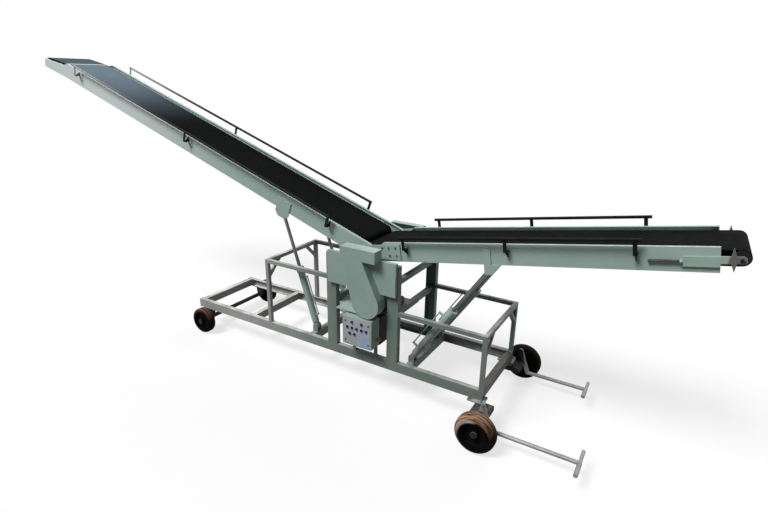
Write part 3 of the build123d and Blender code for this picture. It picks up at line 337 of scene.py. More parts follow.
paints = {
    "green": {
        "dark": (0.26, 0.36, 0.32), "light": (0.33, 0.44, 0.395), "bare": (0.5, 0.56, 0.53),
        "dustColour": (0.5, 0.54, 0.5), "grimeAndShadeColour": (0.13, 0.15, 0.135),
        "scale": 2.2, "contrast": 0.5, "wear": 0.5, "breakup": 18.0, "dust": 0.3, "grimeAndShade": 0.35,
        "rough": (0.4, 0.6), "shine": 0.35, "bump": 0.05,
    },
    "takeup": {
        "dark": (0.26, 0.36, 0.32), "light": (0.33, 0.44, 0.395), "bare": (0.5, 0.5, 0.48),
        "dustColour": (0.5, 0.54, 0.5), "grimeAndShadeColour": (0.13, 0.15, 0.135),
        "scale": 9.0, "contrast": 0.5, "wear": 0.6, "breakup": 30.0, "dust": 0.3, "grimeAndShade": 0.35,
        "rough": (0.4, 0.6), "shine": 0.3, "bump": 0.1,
        "darkened": (0.12, 0.113, 0.105), "darkSpan": takeupSpan,
    },
    "boomSide": {
        "dark": (0.28, 0.38, 0.34), "light": (0.34, 0.45, 0.405), "bare": (0.6, 0.66, 0.64),
        "dustColour": (0.6, 0.65, 0.62), "grimeAndShadeColour": (0.13, 0.15, 0.135),
        "scale": 2.2, "contrast": 0.5, "wear": 0.3, "breakup": 18.0, "dust": 0.4, "grimeAndShade": 0.3,
        "rough": (0.4, 0.6), "shine": 0.35, "bump": 0.02,
        # painted highlight: the boom's near side pales to near white towards the tip
        "tipHighlight": (0.68, 0.76, 0.75), "tipHighlightSpan": (1.2, 4.2), "tipHighlightAmount": 0.9,
    },
    "boomGuide": {
        "dark": (0.006, 0.006, 0.007), "light": (0.012, 0.012, 0.013), "bare": (0.06, 0.06, 0.06),
        "dustColour": (0.06, 0.058, 0.055), "grimeAndShadeColour": (0.03, 0.03, 0.03),
        "scale": 4.0, "contrast": 0.6, "wear": 0.2, "breakup": 26.0, "dust": 0.1, "grimeAndShade": 0.1,
        "rough": (0.5, 0.7), "shine": 0.08, "bump": 0.05,
        # painted highlight: the guides pale towards the tip
        "tipHighlight": (0.5, 0.52, 0.55), "tipHighlightSpan": (3.0, 4.9), "tipHighlightAmount": 0.8,
    },
    "infeedGuide": {
        "dark": (0.005, 0.005, 0.005), "light": (0.01, 0.01, 0.01), "bare": (0.06, 0.06, 0.06),
        "dustColour": (0.05, 0.048, 0.045), "grimeAndShadeColour": (0.03, 0.03, 0.03),
        "scale": 4.0, "contrast": 0.6, "wear": 0.2, "breakup": 26.0, "dust": 0.08, "grimeAndShade": 0.1,
        "rough": (0.5, 0.7), "shine": 0.05, "bump": 0.05,
    },
    "guard": {
        "dark": (0.225, 0.315, 0.28), "light": (0.285, 0.385, 0.345), "bare": (0.5, 0.56, 0.53),
        "dustColour": (0.6, 0.65, 0.61), "grimeAndShadeColour": (0.13, 0.15, 0.135),
        "scale": 2.2, "contrast": 0.5, "wear": 0.5, "breakup": 18.0, "dust": 0.45, "grimeAndShade": 0.3,
        "rough": (0.4, 0.6), "shine": 0.35, "bump": 0.05,
    },
    # near-white dust on the tops: partly dust and partly a painted highlight
    "frame": {
        "dark": (0.15, 0.145, 0.14), "light": (0.085, 0.195, 0.155), "bare": (0.55, 0.57, 0.55),
        "dustColour": (0.78, 0.79, 0.76), "grimeAndShadeColour": (0.15, 0.145, 0.14),
        "scale": 2.4, "contrast": 0.4, "wear": 0.6, "breakup": 20.0, "dust": 1.0, "grimeAndShade": 0.5,
        "rough": (0.45, 0.65), "shine": 0.3, "bump": 0.14,
        "faded": (0.36, 0.348, 0.34),
    },
    # near-white dust on the tops: partly dust and partly a painted highlight
    "railing": {
        "dark": (0.15, 0.147, 0.144), "light": (0.1, 0.19, 0.155), "bare": (0.5, 0.52, 0.5),
        "dustColour": (0.78, 0.78, 0.76), "grimeAndShadeColour": (0.13, 0.127, 0.123),
        "scale": 3.0, "contrast": 0.4, "wear": 0.6, "breakup": 22.0, "dust": 0.9, "grimeAndShade": 0.4,
        "rough": (0.45, 0.65), "shine": 0.3, "bump": 0.12,
        "faded": (0.36, 0.348, 0.34),
    },
    # near-white dust on the tops: partly dust and partly a painted highlight
    "cross": {
        "dark": (0.15, 0.145, 0.14), "light": (0.085, 0.195, 0.155), "bare": (0.4, 0.4, 0.39),
        "dustColour": (0.78, 0.79, 0.76), "grimeAndShadeColour": (0.15, 0.145, 0.14),
        "scale": 2.4, "contrast": 0.4, "wear": 0.5, "breakup": 20.0, "dust": 1.0, "grimeAndShade": 0.5,
        "rough": (0.45, 0.65), "shine": 0.25, "bump": 0.14,
        # the front cross member turns near black towards its front end
        "faded": (0.36, 0.348, 0.34), "darkened": (0.062, 0.058, 0.056), "darkSpan": crossSpan,
    },
    # painted shade: the infeed barrels turn dark below about 1 m, partly grime and partly the shade under the
    # infeed section
    "barrel": {
        "dark": (0.26, 0.36, 0.32), "light": (0.33, 0.44, 0.395), "bare": (0.5, 0.56, 0.53),
        "dustColour": (0.5, 0.54, 0.5), "grimeAndShadeColour": (0.085, 0.082, 0.08),
        "scale": 3.5, "contrast": 0.5, "wear": 0.4, "breakup": 18.0, "dust": 0.2, "grimeAndShade": 1.1,
        "grimeAndShadeLow": 0.6, "grimeAndShadeHigh": 1.05,
        "rough": (0.35, 0.55), "shine": 0.4, "bump": 0.08,
    },
    # the near knuckle's lower part turns near black below about 0.3 m
    "kingpin": {
        "dark": (0.2, 0.28, 0.25), "light": (0.27, 0.36, 0.325), "bare": (0.5, 0.52, 0.5),
        "dustColour": (0.5, 0.5, 0.48), "grimeAndShadeColour": (0.012, 0.012, 0.012),
        "scale": 6.0, "contrast": 0.5, "wear": 0.4, "breakup": 26.0, "dust": 0.3, "grimeAndShade": 3.6,
        "grimeAndShadeLow": 0.24, "grimeAndShadeHigh": 0.33,
        "rough": (0.5, 0.7), "shine": 0.05, "bump": 0.15,
    },
    "black": {
        "dark": (0.01, 0.01, 0.011), "light": (0.02, 0.02, 0.022), "bare": (0.09, 0.088, 0.085),
        "dustColour": (0.07, 0.066, 0.06), "grimeAndShadeColour": (0.04, 0.036, 0.03),
        "scale": 4.0, "contrast": 0.6, "wear": 0.4, "breakup": 26.0, "dust": 0.25, "grimeAndShade": 0.3,
        "rough": (0.5, 0.7), "shine": 0.12, "bump": 0.15,
    },
    "hub": {
        "dark": (0.002, 0.002, 0.002), "light": (0.005, 0.005, 0.005), "bare": (0.03, 0.03, 0.03),
        "dustColour": (0.02, 0.018, 0.016), "grimeAndShadeColour": (0.006, 0.006, 0.006),
        "scale": 8.0, "contrast": 0.6, "wear": 0.2, "breakup": 26.0, "dust": 0.15, "grimeAndShade": 0.3,
        "rough": (0.55, 0.75), "shine": 0.03, "bump": 0.15,
    },
    "casting": {
        "dark": (0.07, 0.08, 0.078), "light": (0.12, 0.135, 0.13), "bare": (0.26, 0.26, 0.25),
        "dustColour": (0.24, 0.225, 0.2), "grimeAndShadeColour": (0.06, 0.055, 0.05),
        "scale": 5.0, "contrast": 0.6, "wear": 0.5, "breakup": 26.0, "dust": 0.4, "grimeAndShade": 0.5,
        "rough": (0.5, 0.72), "shine": 0.25, "bump": 0.3,
    },
    "faceGrey": {
        "dark": (0.3, 0.325, 0.32), "light": (0.37, 0.39, 0.385), "bare": (0.4, 0.4, 0.4),
        "dustColour": (0.42, 0.41, 0.38), "grimeAndShadeColour": (0.2, 0.2, 0.19),
        "scale": 5.0, "contrast": 0.6, "wear": 0.2, "breakup": 26.0, "dust": 0.2, "grimeAndShade": 0.25,
        "rough": (0.4, 0.55), "shine": 0.3, "bump": 0.05,
    },
    "faceLilac": {
        "dark": (0.33, 0.34, 0.43), "light": (0.39, 0.4, 0.5), "bare": (0.45, 0.45, 0.5),
        "dustColour": (0.42, 0.41, 0.42), "grimeAndShadeColour": (0.22, 0.22, 0.24),
        "scale": 6.0, "contrast": 0.6, "wear": 0.2, "breakup": 26.0, "dust": 0.15, "grimeAndShade": 0.2,
        "rough": (0.35, 0.5), "shine": 0.35, "bump": 0.04,
    },
    "faceBlue": {
        "dark": (0.26, 0.34, 0.46), "light": (0.32, 0.4, 0.52), "bare": (0.45, 0.47, 0.5),
        "dustColour": (0.42, 0.42, 0.42), "grimeAndShadeColour": (0.2, 0.22, 0.25),
        "scale": 6.0, "contrast": 0.6, "wear": 0.2, "breakup": 26.0, "dust": 0.15, "grimeAndShade": 0.2,
        "rough": (0.35, 0.5), "shine": 0.35, "bump": 0.04,
    },
    "orange": {
        "dark": (0.4, 0.09, 0.02), "light": (0.55, 0.15, 0.03), "bare": (0.5, 0.3, 0.2),
        "dustColour": (0.4, 0.3, 0.22), "grimeAndShadeColour": (0.12, 0.06, 0.03),
        "scale": 9.0, "contrast": 0.6, "wear": 0.3, "breakup": 40.0, "dust": 0.2, "grimeAndShade": 0.3,
        "rough": (0.4, 0.55), "shine": 0.4, "bump": 0.05,
    },
}
paintOf = {name: paintMaterial(name + "Paint", look) for name, look in paints.items()}


steelCommon = {"contrast": 0.6, "bump": 0.1, "bumpDepth": 0.0006}


# bare or chromed steel: an uneven tone with a little dust on top
def steelMaterial(name, look):
    material, tree, shader = newMaterial(name)
    mottle = useGroup(tree, "mottle", Scale=look["scale"], Contrast=steelCommon["contrast"])
    dust = useGroup(tree, "dust", Amount=look["dust"], Scale=look["scale"])
    coat = mixColour(tree, mottle.outputs["Tone"], look["dark"], look["light"])
    coat = mixColour(tree, dust.outputs["Mask"], coat, look["dustColour"])
    feed(tree, coat, shader.inputs["Base Color"])
    rough = rangeNode(tree, mottle.outputs["Fine"], *fineSpan, *look["rough"])
    feed(tree, rough, shader.inputs["Roughness"])
    shader.inputs["Metallic"].default_value = look["metal"]
    bumpInto(tree, shader, mottle.outputs["Fine"], steelCommon["bump"], steelCommon["bumpDepth"])
    return material


steels = {
    "tiller": {
        "dark": (0.18, 0.18, 0.18), "light": (0.3, 0.3, 0.295), "dustColour": (0.4, 0.38, 0.34),
        "scale": 6.0, "dust": 0.3,
        "rough": (0.42, 0.6), "metal": 0.35,
    },
    "rod": {
        "dark": (0.09, 0.092, 0.095), "light": (0.16, 0.162, 0.166), "dustColour": (0.15, 0.15, 0.14),
        "scale": 8.0, "dust": 0.15,
        "rough": (0.25, 0.42), "metal": 0.85,
    },
    "drum": {
        "dark": (0.1, 0.1, 0.1), "light": (0.2, 0.2, 0.2), "dustColour": (0.25, 0.24, 0.22),
        "scale": 6.0, "dust": 0.2,
        "rough": (0.35, 0.5), "metal": 0.7,
    },
    "screw": {
        "dark": (0.03, 0.027, 0.024), "light": (0.07, 0.06, 0.05), "dustColour": (0.12, 0.1, 0.08),
        "scale": 12.0, "dust": 0.2,
        "rough": (0.4, 0.6), "metal": 0.6,
    },
    "bolt": {
        "dark": (0.09, 0.1, 0.095), "light": (0.16, 0.175, 0.165), "dustColour": (0.24, 0.25, 0.23),
        "scale": 20.0, "dust": 0.3,
        "rough": (0.4, 0.58), "metal": 0.5,
    },
}
steelOf = {name: steelMaterial(name + "Steel", look) for name, look in steels.items()}


# belt: matte black rubber with a fine grain
# the far end carries a painted blue-grey sheen on its upward faces, dimmer past the nose bend, and a painted
# highlight line where the nose bends
def beltMaterial(name, look):
    material, tree, shader = newMaterial(name)
    mottle = useGroup(tree, "mottle", Scale=look["scale"], Contrast=look["contrast"])
    dust = useGroup(tree, "dust", Amount=look["dust"], Scale=look["scale"] * look["dustTimes"])
    coat = mixColour(tree, mottle.outputs["Tone"], look["dark"], look["light"])
    coat = mixColour(tree, dust.outputs["Mask"], coat, look["dustColour"])
    along = useGroup(tree, "reach").outputs["Along"]
    # painted sheen: a blue-grey reflection on the boom belt's upward faces, growing towards the tip and
    # broken up by the mottle
    upper = rangeNode(tree, normalUp(tree), *look["upper"])
    cloud = rangeNode(tree, mottle.outputs["Tone"], 0.0, 1.0, look["cloud"], 1.0)
    paintedSheen = rangeNode(tree, along, look["paintedSheenFrom"], look["paintedSheenTo"], 0.0, look["paintedSheen"], True)
    coat = mixColour(tree, product(tree, paintedSheen, cloud, upper), coat, look["paintedSheenColour"])
    # a dimmer painted sheen past the nose bend
    noseSheen = rangeNode(tree, along, look["bend"], look["bend"] + look["noseSheenFade"], 0.0, look["paintedSheen"])
    coat = mixColour(tree, product(tree, noseSheen, upper), coat, look["noseSheenColour"])
    # painted highlight: a pale line across the belt where the nose bends
    gap = mathNode(tree, "ABSOLUTE", mathNode(tree, "SUBTRACT", along, look["bend"]))
    bendHighlight = rangeNode(tree, gap, look["bendHighlight"], look["bendHighlight"] / 2, 0.0, look["paintedSheen"])
    coat = mixColour(tree, product(tree, bendHighlight, upper), coat, look["bendHighlightColour"])
    feed(tree, coat, shader.inputs["Base Color"])
    rough = rangeNode(tree, mottle.outputs["Fine"], *fineSpan, *look["rough"])
    feed(tree, rough, shader.inputs["Roughness"])
    shader.inputs["Specular IOR Level"].default_value = look["shine"]
    bumpInto(tree, shader, mottle.outputs["Fine"], look["bump"], look["bumpDepth"])
    return material


beltLook = {
    "dark": (0.0035, 0.004, 0.004), "light": (0.009, 0.0095, 0.0095), "dustColour": (0.03, 0.03, 0.028),
    "scale": 1.6, "dust": 0.05, "rough": (0.65, 0.85), "shine": 0.005, "paintedSheenFrom": 2.9, "paintedSheenTo": 4.9,
    "paintedSheenColour": (0.2, 0.265, 0.32), "bend": 5.06, "noseSheenColour": (0.085, 0.12, 0.135), "bendHighlight": 0.024,
    "bendHighlightColour": (0.6, 0.64, 0.68), "contrast": 0.7, "dustTimes": 1.5, "upper": (0.2, 0.6),
    "cloud": 0.75, "noseSheenFade": 0.03, "bump": 0.2, "bumpDepth": 0.001,
}
beltMaterial("boomRubber", {**beltLook, "paintedSheen": 1.0})
beltMaterial("infeedRubber", {**beltLook, "paintedSheen": 0.0})


# wheel rubber: black side, a grey worn shoulder and a brown dusty ribbed tread, told apart by the distance
# from the axle; the brown and the grey fade round the wheel away from the upper, lit side into a dark tread
# below, which is partly dust and wear on top and partly painted shade below
def wheelMaterial(name, axle, radius, look):
    material, tree, shader = newMaterial(name)
    mottle = useGroup(tree, "mottle", Scale=look["scale"], Contrast=look["contrast"])
    tone = mottle.outputs["Tone"]
    centre = addNode(tree, "ShaderNodeMapping")
    centre.inputs["Location"].default_value = [-axle[0], 0.0, -axle[2]]
    centre.inputs["Scale"].default_value = (1.0, 0.0, 1.0)
    feed(tree, objectPlace(tree), centre.inputs["Vector"])
    reach = addNode(tree, "ShaderNodeVectorMath", operation="LENGTH")
    feed(tree, centre.outputs[0], reach.inputs[0])
    ragged = product(tree, mathNode(tree, "SUBTRACT", tone, 0.5), look["ragged"])
    far = mathNode(tree, "ADD", mathNode(tree, "DIVIDE", reach.outputs["Value"], radius), ragged)
    tread = rangeNode(tree, far, look["treadFrom"], look["treadTo"])
    shoulder = rangeNode(tree, far, look["shoulderFrom"], look["shoulderTo"])
    litAndDustySide = addNode(tree, "ShaderNodeVectorMath", operation="DOT_PRODUCT")
    feed(tree, centre.outputs[0], litAndDustySide.inputs[0])
    litAndDustySide.inputs[1].default_value = look["litAndDustySide"]
    share = mathNode(tree, "DIVIDE", litAndDustySide.outputs["Value"], radius)
    # the upper, lit side gets the brown tread and grey shoulder: partly dust and wear, partly painted shade
    # on the lower side
    top = rangeNode(tree, share, *look["topSpan"])
    patch = rangeNode(tree, share, *look["patch"])
    scuff = product(tree, shoulder, patch, rangeNode(tree, tone, *look["scuff"]))
    side = mixColour(tree, tone, look["sideDark"], look["sideLight"])
    side = mixColour(tree, scuff, side, look["shoulder"])
    drawn = addNode(tree, "ShaderNodeMapping")
    drawn.inputs["Scale"].default_value = look["streaks"]
    feed(tree, objectPlace(tree), drawn.inputs["Vector"])
    streakNoise = noiseNode(tree, drawn.outputs[0], 1.0, detail=4.0, rough=0.6)
    streak = rangeNode(tree, streakNoise, *look["streak"])
    dusty = mixColour(tree, streak, look["treadDark"], look["treadLight"])
    brown = mixColour(tree, top, look["bareShadedTread"], dusty)
    feed(tree, mixColour(tree, tread, side, brown), shader.inputs["Base Color"])
    rough = rangeNode(tree, mottle.outputs["Fine"], *fineSpan, *look["rough"])
    feed(tree, rough, shader.inputs["Roughness"])
    shader.inputs["Specular IOR Level"].default_value = look["shine"]
    across = product(tree, splitNode(tree, objectPlace(tree))["Y"], look["ribs"])
    rib = product(tree, mathNode(tree, "SINE", across), tread)
    relief = mathNode(tree, "ADD", product(tree, rib, look["ribHeight"]), mottle.outputs["Fine"])
    bumpInto(tree, shader, relief, look["bump"], look["bumpDepth"])
    return material


wheelLook = {
    "scale": 11.0, "sideDark": (0.002, 0.002, 0.002), "sideLight": (0.005, 0.005, 0.005),
    "shoulder": (0.34, 0.335, 0.33), "treadDark": (0.07, 0.035, 0.018),
    "treadLight": (0.46, 0.285, 0.19), "bareShadedTread": (0.02, 0.012, 0.008), "treadFrom": 0.9,
    "treadTo": 0.95, "shoulderFrom": 0.74, "shoulderTo": 0.82, "litAndDustySide": (-0.6, 0.0, 0.8),
    "patch": (0.3, 0.75), "streaks": (7.0, 70.0, 7.0), "ribs": 330.0, "shine": 0.02,
    "topSpan": (-0.5, 0.7), "contrast": 0.7, "ragged": 0.05, "scuff": (0.1, 0.7, 0.3, 1.0),
    "streak": (0.36, 0.62), "rough": (0.65, 0.9), "ribHeight": 0.5, "bump": 0.5, "bumpDepth": 0.003,
}
# painted shade: the far wheels, which sit in shade, get a near-black tread and shoulder
paintedShadeTread = {
    "treadDark": (0.012, 0.008, 0.006), "treadLight": (0.05, 0.03, 0.022),
    "shoulder": (0.03, 0.028, 0.027),
}
wideTread = {
    "treadFrom": 0.76, "treadTo": 0.83, "shoulderFrom": 0.68, "shoulderTo": 0.73, "patch": (0.42, 0.66),
    "litAndDustySide": (-0.72, 0.0, 0.69),
}
rustTread = {
    "treadDark": (0.05, 0.024, 0.016), "treadLight": (0.2, 0.1, 0.07), "shoulder": (0.05, 0.045, 0.042),
}

wheelRows = [
    {"joint": "front_wheel_spin_near", "piece": "front_tyre_near", "radius": 0.1875, "tyreLook": wideTread},
    {"joint": "front_wheel_spin_far", "piece": "front_tyre_far", "radius": 0.1875, "tyreLook": paintedShadeTread},
    {"joint": "rear_wheel_spin_near", "piece": "rear_wheel_near", "radius": 0.154, "tyreLook": rustTread},
    {"joint": "rear_wheel_spin_far", "piece": "rear_wheel_far", "radius": 0.154, "tyreLook": paintedShadeTread},
]

finishes = {
    "boomSidePaint": ["boom_side_rails"],
    "boomGuidePaint": ["boom_guides"],
    "infeedGuidePaint": ["infeed_guides"],
    "crossPaint": ["cross_members"],
    "greenPaint": ["boom_bed", "boom_brackets", "boom_barrels", "infeed_side_rails", "infeed_bed",
                   "infeed_plates", "control_panel", "motor_platform"],
    "takeupPaint": ["takeups"],
    "guardPaint": ["guards"],
    "barrelPaint": ["infeed_barrels"],
    "kingpinPaint": ["knuckle_near"],
    "framePaint": ["chassis_rails", "mid_posts", "post_beams", "king_heads",
                   "cylinder_clevises", "panel_stand"],
    "railingPaint": ["railing_frames", "railing_bars"],
    "hubPaint": ["front_disc_near", "front_disc_far"],
    # painted shade: the far knuckle, which sits in shade, takes the black paint while the near one is green
    "blackPaint": ["rear_axle", "tail_pulley", "power_pack", "panel_buttons", "knuckle_far"],
    "castingPaint": ["knee_bearings", "gear_motor"],
    "tillerSteel": ["tiller_near", "tiller_far"],
    "rodSteel": ["boom_rods", "infeed_rods"],
    "drumSteel": ["drive_shaft", "boom_pulleys"],
    "boomRubber": ["boom_belt"],
    "infeedRubber": ["infeed_belt"],
}


def dress(name, material):
    mesh = nodes[name].data
    mesh.materials.clear()
    mesh.materials.append(material)


for finish, names in finishes.items():
    for name in names:
        dress(name, bpy.data.materials[finish])
for row in wheelRows:
    axle = joints[row["joint"]]["pos_m"]
    rubber = wheelMaterial(row["piece"] + "Rubber", axle, row["radius"], {**wheelLook, **row["tyreLook"]})
    dress(row["piece"], rubber)
print("materials set")


# places of details: machine metres turned by the chassis slope about the knee hinge
def toRow(points):
    across = points[:, 0] - stance["hinge"][0]
    up = points[:, 2] - stance["hinge"][1]
    cosine, sine = math.cos(stance["slope"]), math.sin(stance["slope"])
    x = stance["row"][0] + across * cosine - up * sine
    z = stance["row"][2] + across * sine + up * cosine
    return np.column_stack([x, points[:, 1], z])


# points on the infeed section: along the belt and above the hinge line, in metres
def onInfeed(along, above, side):
    cosine, sine = math.cos(stance["infeedAngle"]), math.sin(stance["infeedAngle"])
    x = stance["hinge"][0] + along * cosine - above * sine
    z = stance["hinge"][1] + along * sine + above * cosine
    return np.stack(np.broadcast_arrays(x, side, z), axis=-1)


def newPiece(name, points, faces, material, body, smooth):
    mesh = bpy.data.meshes.new(name)
    mesh.from_pydata(points.tolist(), [], faces)
    mesh.polygons.foreach_set("use_smooth", [smooth] * len(mesh.polygons))
    mesh.materials.append(material)
    piece = bpy.data.objects.new(name, mesh)
    bpy.context.scene.collection.objects.link(piece)
    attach(piece, body)


# faces of a grid of points whose columns close on themselves, with an optional cap on the last row
def ringFaces(rows, columns, start=0, cap=True):
    grid = start + np.arange(rows * columns).reshape(rows, columns)
    following = np.roll(grid, -1, axis=1)
    quads = np.stack([grid[:-1], following[:-1], following[1:], grid[1:]], axis=-1).reshape(-1, 4)
    return quads.tolist() + ([grid[-1].tolist()] if cap else [])


# two directions square to an axis
def sideways(axis):
    axis = np.asarray(axis, dtype=float)
    first = np.cross(axis, (0.0, 0.0, 1.0) if abs(axis[2]) < 0.9 else (1.0, 0.0, 0.0))
    first /= np.linalg.norm(first)
    return first, np.cross(axis, first)


# turned rings: each rim is laid off square to the axis through the centre, at that ring's height along it
def turnedRings(rims, heights, axis, centre):
    axis = np.asarray(axis, dtype=float)
    first, second = sideways(axis)
    angles = np.linspace(0.0, 2 * math.pi, rims.shape[1], endpoint=False)[:, None]
    spokes = np.cos(angles) * first + np.sin(angles) * second
    return np.asarray(centre) + rims[..., None] * spokes + heights[:, None, None] * axis


boltShape = {"columns": 24, "washer": 0.66, "washerThick": 0.002, "shoulder": 0.8, "chamfer": 0.86}


# hex head on a washer: the rim's distance from the axis is half the flats over the cosine of the angle
# from the nearest flat's middle
def hexHeads(name, look):
    angles = np.linspace(0.0, 2 * math.pi, boltShape["columns"], endpoint=False)
    hexRim = look["flats"] / 2 / np.cos(angles % (math.pi / 3) - math.pi / 6)
    washer = np.full(boltShape["columns"], look["flats"] * boltShape["washer"])
    rims = np.array([washer, washer, hexRim, hexRim, hexRim * boltShape["chamfer"]])
    thick, height = boltShape["washerThick"], look["height"]
    heights = np.array([0.0, thick, thick, height * boltShape["shoulder"], height])
    heads = [turnedRings(rims, heights, axis, centre) for centre, axis in look["places"]]
    faces = []
    for count in range(len(heads)):
        faces.extend(ringFaces(*rims.shape, count * rims.size))
    points = toRow(np.concatenate(heads).reshape(-1, 3))
    newPiece(name, points, faces, steelOf["bolt"], look["body"], False)


sides = (-1, 1)
kneeFace = 0.3385
kneeSpots = [(0.200, 0.038), (0.270, 0.038), (0.345, 0.038), (0.275, -0.035), (0.350, -0.035)]
kneeBolts = {
    "flats": 0.017, "height": 0.008, "body": "infeed", "slot": "bare_steel",
    "places": [(onInfeed(along, above, side * kneeFace), (0, side, 0))
               for along, above in kneeSpots for side in sides],
}
kingHead = {"x": 1.840, "shifts": (-0.085, 0.03), "out": 0.457, "top": -0.1}
headNuts = {
    "flats": 0.019, "height": 0.012, "body": "chassis", "slot": "bare_steel",
    "places": [((kingHead["x"] + shift, side * kingHead["out"], kingHead["top"]), (0, 0, 1))
               for shift in kingHead["shifts"] for side in sides],
}
hexHeads("kneeBolts", kneeBolts)
hexHeads("headNuts", headNuts)


# take-up screw: the radius swings from root to crest with the turn angle plus the travel over the pitch
def threads(name, look):
    rows = int(look["length"] / look["pitch"] * look["perTurn"])
    travel = np.linspace(0.0, look["length"], rows)[:, None]
    turn = np.linspace(0.0, 2 * math.pi, look["columns"], endpoint=False)
    phase = (travel / look["pitch"] + turn / (2 * math.pi)) % 1.0
    radius = look["root"] + look["depth"] * (1 - np.abs(2 * phase - 1))
    above = look["above"] + radius * np.cos(turn)
    shells, faces = [], []
    for count, side in enumerate(sides):
        out = side * look["out"] + radius * np.sin(turn)
        shells.append(onInfeed(look["from"] + travel, above, out).reshape(-1, 3))
        faces.extend(ringFaces(*radius.shape, count * radius.size, False))
    points = toRow(np.concatenate(shells))
    newPiece(name, points, faces, steelOf["screw"], "infeed", True)


takeupLook = {
    "from": 2.436, "length": 0.197, "above": -0.014, "out": 0.3407, "root": 0.0092, "depth": 0.0013,
    "pitch": 0.006, "columns": 16, "perTurn": 8,
}
threads("takeupThreads", takeupLook)


plateGrid = {"count": 17, "power": 30}


# thin plate on the panel: over a square grid, its height is the thickness times one less the larger side
# share to a high power
def facePlate(name, look, material):
    count = plateGrid["count"]
    share = np.sin(np.linspace(-math.pi / 2, math.pi / 2, count))
    wide, high = np.meshgrid(share, share)
    rise = look["thick"] * (1 - np.maximum(np.abs(wide), np.abs(high)) ** plateGrid["power"])
    x = look["left"] + (wide + 1) / 2 * (look["right"] - look["left"])
    z = look["low"] + (high + 1) / 2 * (look["high"] - look["low"])
    points = np.stack([x, look["face"] - rise, z], axis=-1).reshape(-1, 3)
    grid = np.arange(count * count).reshape(count, count)
    quads = np.stack([grid[:-1, :-1], grid[:-1, 1:], grid[1:, 1:], grid[1:, :-1]], axis=-1).reshape(-1, 4)
    newPiece(name, toRow(points), quads.tolist(), material, "chassis", True)


panelFace = -0.5795
sheetThick = 0.0012
labelThick = 0.0006
plateLooks = {
    "panelSheet": {
        "left": 0.440, "right": 0.764, "low": 0.146, "high": 0.437,
        "face": panelFace, "thick": sheetThick, "paint": "faceGrey",
    },
    "panelUpperLabel": {
        "left": 0.474, "right": 0.744, "low": 0.258, "high": 0.418,
        "face": panelFace - sheetThick, "thick": labelThick, "paint": "faceLilac",
    },
    "panelLowerLabel": {
        "left": 0.604, "right": 0.756, "low": 0.153, "high": 0.254,
        "face": panelFace - sheetThick, "thick": labelThick, "paint": "faceBlue",
    },
}
for name, look in plateLooks.items():
    facePlate(name, look, paintOf[look["paint"]])


# turned cap: a profile of radius and height turned about the axis
def turnedCap(name, look, material):
    profile = np.array(look["profile"])
    rims = np.repeat(profile[:, :1], look["columns"], axis=1)
    points = turnedRings(rims, profile[:, 1], look["axis"], look["centre"]).reshape(-1, 3)
    faces = ringFaces(*rims.shape)
    newPiece(name, toRow(points), faces, material, "chassis", True)


sideKnob = {
    "centre": (0.770, -0.470, 0.219), "axis": (1, 0, 0), "columns": 28,
    "profile": [(0.016, 0.0), (0.016, 0.010), (0.020, 0.012), (0.021, 0.020), (0.018, 0.026), (0.010, 0.029)],
}
turnedCap("sideKnob", sideKnob, paintOf["orange"])
print("details set")


# stage: floor, lamps, world and camera; the floor sends little light back up and its shadow is soft on white
stageLook = {
    "floorHalf": 60.0, "floorColour": (0.9, 0.9, 0.9), "bounceColour": (0.13, 0.13, 0.13), "rough": 0.9,
    "haze": 0.7, "hazeSpan": (3.5, 7.0), "sky": 0.12, "lampHeight": 6.0,
}
lampRows = [
    {"name": "key", "from": (-0.3, -0.52, 0.8), "strength": 3.4, "spread": 22.0},
    {"name": "fill", "from": (0.15, 0.93, 0.33), "strength": 1.3, "spread": 70.0},
]


# rays that see the background: from the camera, in a gloss and through glass
def backgroundRays(tree):
    light = addNode(tree, "ShaderNodeLightPath")
    mirrored = mathNode(tree, "MAXIMUM", light.outputs["Is Glossy Ray"], light.outputs["Is Transmission Ray"])
    return mathNode(tree, "MAXIMUM", light.outputs["Is Camera Ray"], mirrored)


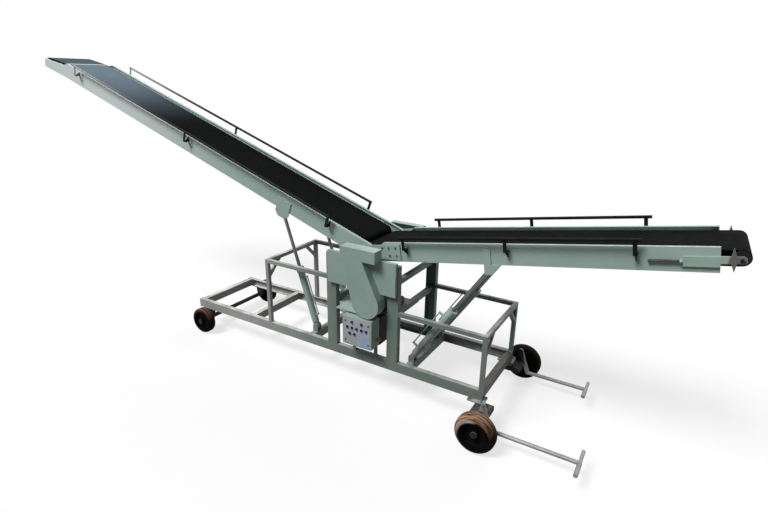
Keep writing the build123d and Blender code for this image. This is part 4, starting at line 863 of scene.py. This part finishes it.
def makeFloor():
    half = stageLook["floorHalf"]
    corners = [[-half, -half, 0], [half, -half, 0], [half, half, 0], [-half, half, 0]]
    mesh = bpy.data.meshes.new("floor")
    mesh.from_pydata(corners, [], [[0, 1, 2, 3]])
    floor = bpy.data.objects.new("floor", mesh)
    bpy.context.scene.collection.objects.link(floor)
    material, tree, shader = newMaterial("paleFloor")
    seen = backgroundRays(tree)
    pale = mixColour(tree, seen, stageLook["bounceColour"], stageLook["floorColour"])
    feed(tree, pale, shader.inputs["Base Color"])
    shader.inputs["Roughness"].default_value = stageLook["rough"]
    shader.inputs["Specular IOR Level"].default_value = 0.0
    reach = addNode(tree, "ShaderNodeVectorMath", operation="LENGTH")
    feed(tree, objectPlace(tree), reach.inputs[0])
    away = rangeNode(tree, reach.outputs["Value"], *stageLook["hazeSpan"], stageLook["haze"], 1.0)
    white = addNode(tree, "ShaderNodeEmission")
    mix = addNode(tree, "ShaderNodeMixShader")
    feed(tree, product(tree, seen, away), mix.inputs[0])
    feed(tree, shader.outputs[0], mix.inputs[1])
    feed(tree, white.outputs[0], mix.inputs[2])
    feed(tree, mix.outputs[0], tree.nodes["Material Output"].inputs["Surface"])
    mesh.materials.append(material)


def makeWorld():
    world = bpy.data.worlds.new("studio")
    bpy.context.scene.world = world
    world.use_nodes = True
    tree = world.node_tree
    sky = tree.nodes["Background"]
    sky.inputs["Color"].default_value = (1, 1, 1, 1)
    strength = rangeNode(tree, backgroundRays(tree), 0.0, 1.0, stageLook["sky"], 1.0)
    feed(tree, strength, sky.inputs["Strength"])


def makeLamp(name, direction, strength, spread):
    data = bpy.data.lights.new(name, "SUN")
    data.energy = strength
    data.angle = math.radians(spread)
    lamp = bpy.data.objects.new(name, data)
    lamp.location = (0.0, 0.0, stageLook["lampHeight"])
    lamp.rotation_euler = Vector(direction).to_track_quat("Z", "Y").to_euler()
    bpy.context.scene.collection.objects.link(lamp)


cameraLook = {
    "sensor": 36.0, "lens": 23.8215,
    "place": (3.65564, -4.23571, 3.08549), "turn": (70.0833, -1.8254, 31.2799),
}


def makeCamera():
    data = bpy.data.cameras.new("camera")
    data.sensor_width = cameraLook["sensor"]
    data.lens = cameraLook["lens"]
    camera = bpy.data.objects.new("camera", data)
    camera.location = cameraLook["place"]
    camera.rotation_euler = [math.radians(angle) for angle in cameraLook["turn"]]
    bpy.context.scene.collection.objects.link(camera)
    bpy.context.scene.camera = camera


makeFloor()
makeWorld()
for row in lampRows:
    makeLamp(row["name"], row["from"], row["strength"], row["spread"])
makeCamera()
bpy.context.scene.view_settings.view_transform = "Standard"
print("stage set")
